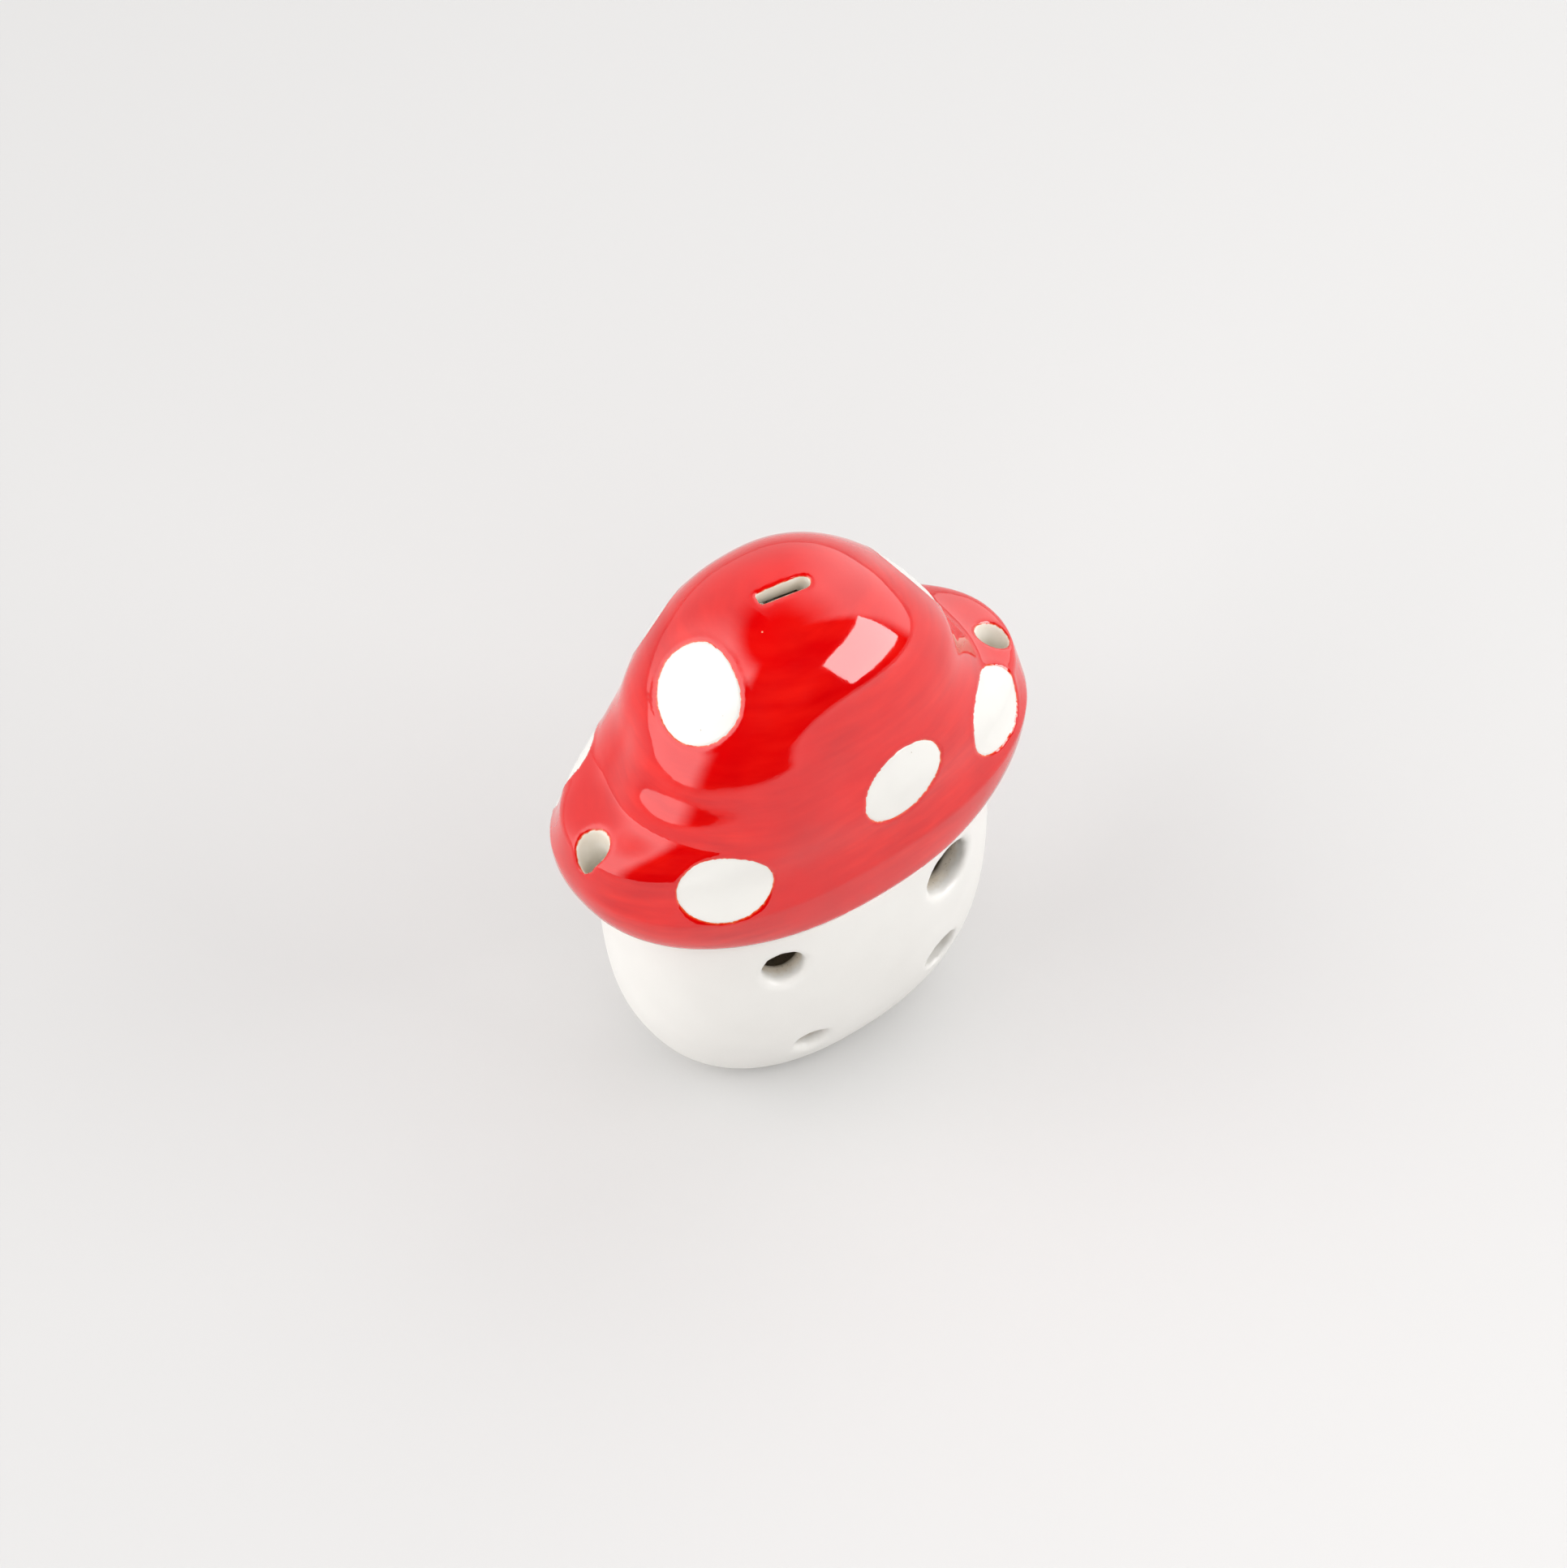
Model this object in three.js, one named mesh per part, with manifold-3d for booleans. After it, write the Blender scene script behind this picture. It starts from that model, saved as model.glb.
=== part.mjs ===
// Mushroom-shaped pendant ocarina: a hollow oval stem with four finger holes under a
// glazed cap with two cord lugs, blown through a slot in the crown.
// Millimetres, +Z up, front towards -Y, origin at the centre of the flat foot.
import * as THREE from 'three';
import { mergeVertices } from 'three/addons/utils/BufferGeometryUtils.js';
import Module from 'manifold-3d';

const wasm = await Module();
wasm.setup();

// ---- Driving dimensions -------------------------------------------------------------
const WALL = 3.8;                 // clay wall of the stem
const FOOT_H = 4;                 // thickness of the foot slab
const STEM = { A: 25.9, B: 18.5, n: 2.26, top: 35.7, reach: 37.7, below: 1.8,
  powA: 4.44, powB: 3.12, rootA: 2.29, rootB: 2.46 };
const CHAMBER = { floor: 3.4, domeTop: 70, domePower: 2.3 };
const CAP = { rimHalf: 32.5, rimDepth: 19, rimZ: 42.3, topZ: 75.6, lugRise: 1.8, crownY: -0.3,
  knots: [0, 0.15, 0.3, 0.45, 0.6, 0.8, 1],           // height shares of the dome
  halfWidth: [32.5, 32.1, 25.6, 24.2, 24.7, 24.5, 26.8],
  halfDepth: [19, 18.2, 18.5, 18.4, 19.2, 21.8, 25.7],
  squareKnots: [0, 0.15, 0.3, 1],
  squareness: [2.32, 2.1, 2.41, 2.16] };
const FINGER_HOLES = [            // centre on the wall, outward direction, radius
  { at: [-13.82, -16.31, 29.12], out: [-0.353, -0.936, -0.021], r: 2.68 },
  { at: [11.2, -17.18, 30.39], out: [0, -1, 0], r: 3.77 },
  { at: [-9.35, -15.21, 11.13], out: [-0.207, -0.93, -0.305], r: 2.0 },
  { at: [10.81, -15.73, 14.28], out: [0.249, -0.943, -0.22], r: 2.84 }];
const CORD_HOLES = [              // mouth on the lug, lean of the drill towards the middle
  { at: [-30.4, -0.9, 50.2], lean: 10, side: -1 },
  { at: [28.23, -4.25, 50.75], lean: 4, side: 1 }];
const CORD_R = { mouth: 2.35, exit: 1.5, depth: 15 };
const VOICE = { at: [-0.73, -0.84, 75.5], turn: -11, lean: 38.3 };   // slot centre, degrees
const SLOT = { width: 6.9, thick: 2, squareEndR: 0.4, roundEndR: 0.95 };
const BLOCK = { width: 11.5, thick: 7.6, endZ: 60 };
const WINDOW = { half: 4.2, low: 47.5, high: 58, inY: 9, outY: 26 };
const BLADE = { half: 3.9, profile: [[13.3, 47.8], [18.6, 47.8], [17.15, 54], [16.85, 54]] };
const GAP = 0.3;                  // clearance round an inlaid piece
const GLAZE = 0.5;                // thickness of the white glaze in the spots
const SPOTS = {                   // centre on the cap, half width, half height
  spot_upper_left: { at: [-15.35, -2.4, 68.3], size: [6.1, 5.85] },
  spot_front_left: { at: [-20.6, -14.2, 47.3], size: [5.85, 4.6] },
  spot_front_middle: { at: [4.0, -17.6, 52.1], size: [6.05, 4.75] },
  spot_front_right: { at: [21.9, -13.2, 48.7], size: [5.75, 4.8] },
  spot_rear_left: { at: [-22.3, 13.5, 46.5], size: [5.6, 5.5] },
  spot_upper_right: { at: [19.5, 1.1, 63.2], size: [5.5, 5.4] },
  spot_rear_top: { at: [-8.5, 13.5, 63.5], size: [5.4, 5.0] },
  spot_rear_right: { at: [15.5, 15.8, 47.5], size: [5.6, 4.7] } };
const AROUND = { cap: 64, stem: 48, inner: 36, hole: 20, spot: 20 };

// ---- Small maths --------------------------------------------------------------------
const rad = THREE.MathUtils.degToRad;
const signedPower = (v, p) => Math.sign(v) * Math.abs(v) ** p;

/** Shape-preserving cubic through (xs, ys), without overshoot between the knots. */
function monotoneCurve(xs, ys) {
  const h = xs.slice(1).map((x, i) => x - xs[i]);
  const d = h.map((w, i) => (ys[i + 1] - ys[i]) / w);
  const endSlope = (h0, h1, d0, d1) => {
    const m = ((2 * h0 + h1) * d0 - h0 * d1) / (h0 + h1);
    if (m * d0 <= 0) return 0;
    return d0 * d1 <= 0 && Math.abs(m) > 3 * Math.abs(d0) ? 3 * d0 : m;
  };
  const last = d.length - 1;
  const slopes = ys.map((_, i) => {
    if (i === 0) return endSlope(h[0], h[1], d[0], d[1]);
    if (i > last) return endSlope(h[last], h[last - 1], d[last], d[last - 1]);
    if (d[i - 1] * d[i] <= 0) return 0;
    const a = 2 * h[i] + h[i - 1], b = h[i] + 2 * h[i - 1];
    return (a + b) / (a / d[i - 1] + b / d[i]);
  });
  return (x) => {
    let i = 0;
    while (i < last && x > xs[i + 1]) i += 1;
    const t = (x - xs[i]) / h[i], t2 = t * t, t3 = t2 * t;
    return (2 * t3 - 3 * t2 + 1) * ys[i] + (t3 - 2 * t2 + t) * h[i] * slopes[i]
      + (3 * t2 - 2 * t3) * ys[i + 1] + (t3 - t2) * h[i] * slopes[i + 1];
  };
}

const capHalfWidth = monotoneCurve(CAP.knots, CAP.halfWidth);
const capHalfDepth = monotoneCurve(CAP.knots, CAP.halfDepth);
const capSquareness = monotoneCurve(CAP.squareKnots, CAP.squareness);

/** One oval ring: a superellipse of half axes a and b with exponent n at height z. */
function ring(a, b, n, z, count, y = 0) {
  return Array.from({ length: count }, (_, i) => {
    const t = (i / count) * 2 * Math.PI;
    return new THREE.Vector3(a * signedPower(Math.cos(t), 2 / n),
      b * signedPower(Math.sin(t), 2 / n) + y, z);
  });
}

/** A closed solid through a stack of rings, its two ends filled with fans. */
function loft(rings) {
  const count = rings[0].length;
  const points = rings.flat();
  const middle = (r) => r.reduce((s, v) => s.add(v), new THREE.Vector3()).divideScalar(count);
  points.push(middle(rings[0]), middle(rings[rings.length - 1]));
  const index = [], first = points.length - 2, end = points.length - 1;
  for (let j = 0; j < rings.length - 1; j += 1) {
    for (let i = 0; i < count; i += 1) {
      const a = j * count + i, b = j * count + ((i + 1) % count);
      index.push(a, b, b + count, a, b + count, a + count);
    }
  }
  const top = (rings.length - 1) * count;
  for (let i = 0; i < count; i += 1) {
    const k = (i + 1) % count;
    index.push(first, k, i, end, top + i, top + k);
  }
  const geometry = new THREE.BufferGeometry();
  geometry.setAttribute('position',
    new THREE.Float32BufferAttribute(points.flatMap((v) => v.toArray()), 3));
  geometry.setIndex(index);
  return geometry;
}

// ---- Booleans -----------------------------------------------------------------------
function toSolid(geometry) {
  const g = geometry.clone();
  g.deleteAttribute('normal');
  g.deleteAttribute('uv');
  const merged = mergeVertices(g, 1e-4);
  return new wasm.Manifold(new wasm.Mesh({ numProp: 3,
    vertProperties: new Float32Array(merged.attributes.position.array),
    triVerts: new Uint32Array(merged.index.array) }));
}

function toGeometry(solid) {
  const mesh = solid.getMesh();
  const geometry = new THREE.BufferGeometry();
  geometry.setAttribute('position', new THREE.BufferAttribute(mesh.vertProperties, 3));
  geometry.setIndex(new THREE.BufferAttribute(mesh.triVerts, 1));
  geometry.computeVertexNormals();
  return geometry;
}

/** A plain geometry moved into place by a matrix, as a solid. */
const placed = (geometry, matrix) => toSolid(geometry.applyMatrix4(matrix));

// ---- Surfaces of the stem and cap ---------------------------------------------------
function stemHalf(z, size, power, root, low = -STEM.below) {
  const u = (z - low) / (STEM.reach - low);
  return size * (1 - (1 - u) ** power) ** (1 / root);
}

const stemRing = (z) => ring(stemHalf(z, STEM.A, STEM.powA, STEM.rootA),
  stemHalf(z, STEM.B, STEM.powB, STEM.rootB), STEM.n, z, AROUND.stem);

const chamberRing = (z) => ring(
  stemHalf(z, STEM.A - WALL, STEM.powA, STEM.rootA, CHAMBER.floor),
  stemHalf(z, STEM.B - WALL, STEM.powB, STEM.rootB, CHAMBER.floor), STEM.n, z, AROUND.inner);

/** Inner skin of the cap, drawn in by the given amount. */
function domeRings(inset) {
  const z0 = STEM.top - 2, height = CHAMBER.domeTop - inset - STEM.top;
  const a = STEM.A - WALL - inset, b = STEM.B - WALL - inset;
  const rings = [ring(a, b, STEM.n, z0, AROUND.inner)];
  for (const t of [0, 0.16, 0.32, 0.48, 0.62, 0.75, 0.86, 0.94, 0.99]) {
    const k = (1 - t ** CHAMBER.domePower) ** (1 / CHAMBER.domePower);
    rings.push(ring(a * k, b * k, STEM.n, STEM.top + height * t, AROUND.inner));
  }
  return rings;
}

/** Size of the cap's oval at height z, measured before the lugs are lifted. */
function capOval(z) {
  if (z < CAP.rimZ) {
    const u = Math.max(0, (z - STEM.top) / (CAP.rimZ - STEM.top));
    const w = Math.sqrt(1 - (1 - u) ** 2);
    return { a: STEM.A + (CAP.rimHalf - STEM.A) * w, b: STEM.B + (CAP.rimDepth - STEM.B) * w,
      n: STEM.n + (CAP.squareness[0] - STEM.n) * u, y: 0, lift: u };
  }
  const s = Math.min((z - CAP.rimZ) / (CAP.topZ - CAP.rimZ), 1), k = Math.sqrt(1 - s * s);
  return { a: k * capHalfWidth(s), b: k * capHalfDepth(s), n: capSquareness(s),
    y: CAP.crownY * s, lift: 1 };
}

const lugLift = (x) => CAP.lugRise * (Math.abs(x) / CAP.rimHalf) ** 3;

function capRing(z) {
  const o = capOval(z);
  const r = ring(o.a, o.b, o.n, z, AROUND.cap, o.y);
  r.forEach((v) => { v.z += lugLift(v.x) * o.lift; });
  return r;
}

/** Negative inside the cap, positive outside it. */
function capSide(p) {
  const z = p.z - lugLift(p.x);
  if (z >= CAP.topZ) return 1;
  const o = capOval(z);
  return (Math.abs(p.x) / o.a) ** o.n + (Math.abs(p.y - o.y) / o.b) ** o.n - 1;
}

function capNormal(p) {
  const h = 0.05;
  const slope = (axis) => capSide(p.clone().addScaledVector(axis, h))
    - capSide(p.clone().addScaledVector(axis, -h));
  return new THREE.Vector3(slope(new THREE.Vector3(1, 0, 0)), slope(new THREE.Vector3(0, 1, 0)),
    slope(new THREE.Vector3(0, 0, 1))).normalize();
}

/** The point of the cap's surface met by a line running inwards from p. */
function onCap(p, inward) {
  let near = -6, far = 6;
  for (let i = 0; i < 40; i += 1) {
    const mid = (near + far) / 2;
    if (capSide(p.clone().addScaledVector(inward, mid)) > 0) near = mid; else far = mid;
  }
  return p.clone().addScaledVector(inward, near);
}

// ---- Cutters ------------------------------------------------------------------------
/** A round spot wrapped on the cap, from depth `under` below it to `over` above it. */
function spotSolid(spot, grow, under, over) {
  const centre = new THREE.Vector3(...spot.at);
  const out = capNormal(onCap(centre, capNormal(centre).negate()));
  const across = new THREE.Vector3(0, 0, 1).cross(out).normalize();
  const upslope = out.clone().cross(across);
  const shells = [-under, over].map(() => []);
  for (const share of [0.34, 0.68, 1]) {
    const low = [], high = [];
    for (let i = 0; i < AROUND.spot; i += 1) {
      const t = (i / AROUND.spot) * 2 * Math.PI;
      const q = centre.clone()
        .addScaledVector(across, Math.cos(t) * (spot.size[0] + grow) * share)
        .addScaledVector(upslope, Math.sin(t) * (spot.size[1] + grow) * share);
      const s = onCap(q, out.clone().negate()), n = capNormal(s);
      low.push(s.clone().addScaledVector(n, -under));
      high.push(s.clone().addScaledVector(n, over));
    }
    shells[0].push(low);
    shells[1].unshift(high);
  }
  return toSolid(loft([...shells[0], ...shells[1]]));
}

function drill(at, inward, rStart, rEnd, depth, before = 4) {
  const slope = (rEnd - rStart) / depth, length = depth + before;
  const cone = new THREE.CylinderGeometry(rStart - slope * before, rEnd, length, AROUND.hole);
  cone.translate(0, -length / 2 + before, 0);
  const turn = new THREE.Quaternion().setFromUnitVectors(new THREE.Vector3(0, -1, 0),
    new THREE.Vector3(...inward).normalize());
  return placed(cone, new THREE.Matrix4().compose(new THREE.Vector3(...at), turn,
    new THREE.Vector3(1, 1, 1)));
}

/** Frame of the mouthpiece: turned with the slot, origin at the slot's centre. */
function voiceMatrix(lean = 0) {
  const turn = new THREE.Matrix4().makeRotationZ(rad(VOICE.turn));
  turn.multiply(new THREE.Matrix4().makeRotationX(rad(lean)));
  return turn.setPosition(...VOICE.at);
}

function windwaySolid() {
  const w = SLOT.width / 2, h = SLOT.thick / 2, a = SLOT.squareEndR, b = SLOT.roundEndR;
  const section = new THREE.Shape();
  section.moveTo(a - w, -h);
  section.lineTo(w - b, -h);
  section.absarc(w - b, b - h, b, -Math.PI / 2, 0);
  section.absarc(w - b, h - b, b, 0, Math.PI / 2);
  section.lineTo(a - w, h);
  section.absarc(a - w, h - a, a, Math.PI / 2, Math.PI);
  section.absarc(a - w, a - h, a, Math.PI, 1.5 * Math.PI);
  const slab = new THREE.ExtrudeGeometry(section, { depth: 30, bevelEnabled: false,
    curveSegments: 3 });
  return placed(slab.translate(0, 0, -23.4), voiceMatrix(VOICE.lean));
}

function windowSolid() {
  const { half, low, high, inY, outY } = WINDOW;
  const box = new THREE.BoxGeometry(2 * half, outY - inY, high - low);
  box.translate(0, (inY + outY) / 2, (low + high) / 2 - VOICE.at[2]);
  return placed(box, voiceMatrix());
}

// ---- Materials ----------------------------------------------------------------------
const bareClay = (name) => new THREE.MeshStandardMaterial({ name, color: '#e6ddcf',
  roughness: 0.62, metalness: 0 });
const whiteGlaze = (name) => new THREE.MeshStandardMaterial({ name, color: '#eeece6',
  roughness: 0.22, metalness: 0 });
const redGlaze = (name) => new THREE.MeshStandardMaterial({ name, color: '#d80a0c',
  roughness: 0.12, metalness: 0 });

// ---- Sub-parts ----------------------------------------------------------------------
/** Slab under the chamber; its flat underside is the resting face. */
function footDisc() {
  return loft([0, 0.5, 1.2, 2.2, 3.1, FOOT_H].map(stemRing));
}

/** Wall of the stem: outside oval, chamber bored through, four finger holes. */
function stemWall() {
  const levels = [FOOT_H, 5.2, 6.8, 9, 12, 16, 21, 27, STEM.top];
  const inside = [FOOT_H - 0.4, 4.3, 5.4, 7.5, 11, 16, 23, STEM.top + 1];
  let wall = toSolid(loft(levels.map(stemRing)));
  wall = wall.subtract(toSolid(loft(inside.map(chamberRing))));
  for (const { at, out, r } of FINGER_HOLES) {
    wall = wall.subtract(drill(at, out.map((v) => -v), r, r, 9));
  }
  return toGeometry(wall);
}

/** Red cap with its chamber dome, mouth slot, voicing window, cord holes and spot beds. */
function capShell() {
  const lip = [0, 0.05, 0.2, 0.5].map((u) => STEM.top + (CAP.rimZ - STEM.top) * u);
  const dome = Array.from({ length: 18 }, (_, i) => CAP.rimZ
    + (CAP.topZ - CAP.rimZ) * Math.sin((i / 17.15) * (Math.PI / 2)));
  let cap = toSolid(loft([...lip, ...dome].map(capRing)));
  cap = cap.subtract(toSolid(loft(domeRings(0))));
  cap = cap.subtract(windwaySolid()).subtract(windowSolid());
  for (const { at, lean, side } of CORD_HOLES) {
    const inward = [-side * Math.sin(rad(lean)), 0, -Math.cos(rad(lean))];
    cap = cap.subtract(drill(at, inward, CORD_R.mouth, CORD_R.exit, CORD_R.depth));
  }
  for (const spot of Object.values(SPOTS)) {
    cap = cap.subtract(spotSolid(spot, GAP, GLAZE + 0.15, 1));
  }
  return toGeometry(cap);
}

/** Lump of clay under the crown that carries the windway to the window. */
function windwayBlock() {
  const lump = new THREE.BoxGeometry(BLOCK.width, BLOCK.thick, 40);
  const keep = new THREE.BoxGeometry(60, 60, 30).translate(0, 0, BLOCK.endZ + 15);
  let block = placed(lump.translate(0, 0, -10), voiceMatrix(VOICE.lean));
  block = block.intersect(toSolid(loft(domeRings(GAP)))).intersect(toSolid(keep));
  return toGeometry(block.subtract(windwaySolid()));
}

/** Wedge in the window whose upper edge splits the air stream. */
function labiumBlade() {
  const side = new THREE.Shape(BLADE.profile.map(([y, z]) => new THREE.Vector2(y, z)));
  const wedge = new THREE.ExtrudeGeometry(side, { depth: 2 * BLADE.half, bevelEnabled: false });
  wedge.translate(0, -VOICE.at[2], -BLADE.half);
  const stand = new THREE.Matrix4().makeBasis(new THREE.Vector3(0, 1, 0),
    new THREE.Vector3(0, 0, 1), new THREE.Vector3(1, 0, 0));
  return wedge.applyMatrix4(voiceMatrix().multiply(stand));
}

const spotInlay = (spot) => toGeometry(spotSolid(spot, 0, GLAZE, -0.02));

// ---- Assembly -----------------------------------------------------------------------
const group = new THREE.Group();
group.name = 'ocarina';
const addPart = (name, geometry, material) => {
  const mesh = new THREE.Mesh(geometry, material);
  mesh.name = name;
  group.add(mesh);
};

addPart('foot_disc', footDisc(), bareClay('foot_clay'));
addPart('stem_wall', stemWall(), whiteGlaze('stem_glaze'));
addPart('cap_shell', capShell(), redGlaze('cap_glaze'));
addPart('windway_block', windwayBlock(), bareClay('block_clay'));
addPart('labium_blade', labiumBlade(), bareClay('blade_clay'));
for (const [name, spot] of Object.entries(SPOTS)) {
  addPart(name, spotInlay(spot), whiteGlaze(`${name}_glaze`));
}

export default group;
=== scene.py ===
"""Looks of the mushroom ocarina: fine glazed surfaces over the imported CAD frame.

Shapes are worked out in millimetres in the CAD frame and written to meshes in metres.
"""
import math

import bpy
import numpy as np
from mathutils import Matrix, Vector


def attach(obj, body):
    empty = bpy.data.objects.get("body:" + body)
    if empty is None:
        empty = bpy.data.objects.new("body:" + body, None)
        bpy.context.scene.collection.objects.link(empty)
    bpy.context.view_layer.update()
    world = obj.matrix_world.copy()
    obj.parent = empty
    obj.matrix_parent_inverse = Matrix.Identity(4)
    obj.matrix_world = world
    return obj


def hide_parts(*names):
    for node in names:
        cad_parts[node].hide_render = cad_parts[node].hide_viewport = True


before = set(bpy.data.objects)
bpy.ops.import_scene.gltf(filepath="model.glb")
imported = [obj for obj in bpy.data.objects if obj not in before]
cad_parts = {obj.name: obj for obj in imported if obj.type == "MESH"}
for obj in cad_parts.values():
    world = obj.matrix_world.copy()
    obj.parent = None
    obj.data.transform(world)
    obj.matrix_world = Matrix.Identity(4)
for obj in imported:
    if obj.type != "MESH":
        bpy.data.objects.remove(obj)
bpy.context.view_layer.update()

MM = 0.001
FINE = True

# ---- Driving dimensions (mm), the same as the CAD part's unless a comment says otherwise
WALL, FOOT_H = 3.8, 4.0
STEM = dict(A=25.9, B=18.5, n=2.26, top=35.7, reach=37.7, below=1.8,
            pow_a=4.44, pow_b=3.12, root_a=2.29, root_b=2.46)
CHAMBER = dict(floor=3.4, dome_top=70.0, power=2.3)
CAP = dict(rim_half=32.5, rim_depth=19.0, rim_z=42.3, top_z=75.6, lug_rise=1.8, crown_y=-0.3,
           knots=(0, 0.15, 0.3, 0.45, 0.6, 0.8, 1),
           half_width=(32.5, 32.1, 25.6, 24.2, 24.7, 24.5, 26.8),
           half_depth=(19, 18.2, 18.5, 18.4, 19.2, 21.8, 25.7),
           square_knots=(0, 0.15, 0.3, 1), squareness=(2.32, 2.1, 2.41, 2.16))
FINGER_HOLES = (  # centre on the wall, outward direction, radius, rounding of the rim (looks only)
    ((-13.82, -16.31, 29.12), (-0.353, -0.936, -0.021), 2.68, 1.3),
    ((11.2, -17.18, 30.39), (0.0, -1.0, 0.0), 3.77, 1.3),
    ((-9.35, -15.21, 11.13), (-0.207, -0.93, -0.305), 2.0, 1.3),
    ((10.81, -15.73, 14.28), (0.249, -0.943, -0.22), 2.84, 0.3))
CORD_HOLES = (  # mouth on the lug, lean of the drill in degrees, side
    ((-30.4, -0.9, 50.2), 10, -1),
    ((28.23, -4.25, 50.75), 4, 1))
CORD_R = dict(mouth=2.1, exit=1.5, depth=15.0)  # the CAD's mouth is 2.35; the rim opens this one
VOICE = dict(at=(-0.73, -0.84, 75.5), turn=-11.0, lean=38.3)
SLOT = dict(width=6.9, thick=2.0, square_end=0.4, round_end=0.95)
WINDOW = dict(half=4.2, low=47.5, high=58.0, in_y=9.0)
SPOTS = {  # node: centre on the cap, half width, half height, turn in degrees, squareness
    "spot_upper_left": ((-15.35, -2.4, 68.3), 6.19, 5.58, -29, 2.15),
    "spot_front_left": ((-20.6, -14.2, 47.3), 5.9, 4.52, -5, 2.07),
    "spot_front_middle": ((4.0, -17.6, 52.1), 6.09, 4.68, 11, 2.0),
    "spot_front_right": ((21.9, -13.2, 48.7), 5.84, 4.61, -2, 2.3),
    "spot_rear_left": ((-22.3, 13.5, 46.5), 5.6, 5.5, 0, 2.0),
    "spot_upper_right": ((19.5, 1.1, 63.2), 5.5, 5.4, 0, 2.0),
    "spot_rear_top": ((-8.5, 13.5, 63.5), 5.4, 5.0, 8, 2.0),
    "spot_rear_right": ((15.5, 15.8, 47.5), 5.6, 4.7, -6, 2.1),
}

# ---- Looks only, not in the CAD part (mm) ----------------------------------------------
FINGER_DEPTH = 10.0   # the drills stop this far inside the wall
CORD_ABOVE = 4.0      # and the cord drills start this far above their mouth
MIN_WALL = 1.6        # least clay between the chamber and the cap's outside
SLOT_BEND, SLOT_BEND_LENGTH = 1.6, 8.3
FLANK = dict(z=56.3, below=5.2, above=6.8, side=1.6, front=1.2)   # swell of the left flank
ROUNDING = dict(slot=0.4, window=0.7, cord=0.7, chamber_rim=0.3)
SPOT_SINK = 0.10      # glaze of a spot lies this far below the red around it
SPOT_BOTTOM = 0.55    # underside of a spot, below the red
SPOT_TUCK = 0.3       # extra depth of the rim that runs under the red
BED_DEPTH = 0.32      # depth of the bed the red leaves for a spot
BED_EDGE, BED_SLOPE = 0.16, 0.36   # where the bed starts, and how wide its slope is
BEAD = dict(height=0.05, at=0.55, width=0.3)   # red glaze gathered round a spot
FAR = 9.0             # largest distance kept in a vertex attribute
STEM_SKIRT = dict(bottom=0.45, wall=1.3, gap=0.1)   # the stem's lower edge round the foot
CAP_GRID = ((-33.4, -20, 34.9), (33.4, 20, 76.6), 0.40 if FINE else 0.6)   # low, high, step
STEM_GRID = ((-26.8, -19.4, -0.3), (26.8, 19.4, 36.6), 0.4 if FINE else 0.65)
FOOT_PROFILE = (  # height, inset from the stem's outline
    (0.0, 2.6), (0.0, 2.1), (0.05, 1.8), (0.2, 1.55), (0.5, 1.45), (1.2, 1.45), (2.2, 1.45),
    (3.1, 1.45), (3.7, 1.5), (3.85, 1.8), (3.85, 4.0))


# ---- Numbers ---------------------------------------------------------------------------
def monotone_curve(xs, ys):
    """Shape-preserving cubic through the knots, for arrays."""
    xs, ys = np.array(xs, float), np.array(ys, float)
    h, d = np.diff(xs), np.diff(ys) / np.diff(xs)

    def end_slope(h0, h1, d0, d1):
        m = ((2 * h0 + h1) * d0 - h0 * d1) / (h0 + h1)
        if m * d0 <= 0:
            return 0.0
        return 3 * d0 if d0 * d1 <= 0 and abs(m) > 3 * abs(d0) else m

    m = np.zeros(len(xs))
    for i in range(1, len(xs) - 1):
        if d[i - 1] * d[i] > 0:
            a, b = 2 * h[i] + h[i - 1], h[i] + 2 * h[i - 1]
            m[i] = (a + b) / (a / d[i - 1] + b / d[i])
    m[0], m[-1] = end_slope(h[0], h[1], d[0], d[1]), end_slope(h[-1], h[-2], d[-1], d[-2])

    def curve(x):
        i = np.clip(np.searchsorted(xs, x) - 1, 0, len(xs) - 2)
        t = (x - xs[i]) / h[i]
        t2, t3 = t * t, t * t * t
        return ((2 * t3 - 3 * t2 + 1) * ys[i] + (t3 - 2 * t2 + t) * h[i] * m[i]
                + (3 * t2 - 2 * t3) * ys[i + 1] + (t3 - t2) * h[i] * m[i + 1])

    return curve


cap_half_width = monotone_curve(CAP["knots"], CAP["half_width"])
cap_half_depth = monotone_curve(CAP["knots"], CAP["half_depth"])
cap_squareness = monotone_curve(CAP["square_knots"], CAP["squareness"])


def smooth_max(a, b, k):
    """Intersection of two solids with its edge rounded to about k."""
    h = np.maximum(k - np.abs(a - b), 0) / k
    return np.maximum(a, b) + h * h * k * 0.25


def oval(p, a, b, n, y=0.0):
    """1 on the superellipse with half axes a and b, less inside."""
    return ((np.abs(p[..., 0]) / a) ** n + (np.abs(p[..., 1] - y) / b) ** n) ** (1 / n)


def ripple(p, size, seed):
    """Smooth irregular wave of about +-1, made of fixed plane waves."""
    rng = np.random.default_rng(seed)
    total = np.zeros(p.shape[:-1])
    for _ in range(9):
        k = rng.normal(size=3)
        k *= 2 * math.pi / size / np.linalg.norm(k) * rng.uniform(0.6, 1.5)
        total += np.sin(p @ k + rng.uniform(0, 2 * math.pi))
    return total / 3.2


# ---- Level functions: negative inside, zero on the surface -----------------------------
def stem_shares(z, floor):
    """Shares of the stem's full half axes at a height, for a bulb that starts at floor."""
    u = np.clip((z - floor) / (STEM["reach"] - floor), 1e-4, 1)
    return ((1 - (1 - u) ** STEM["pow_a"]) ** (1 / STEM["root_a"]),
            (1 - (1 - u) ** STEM["pow_b"]) ** (1 / STEM["root_b"]))


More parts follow.
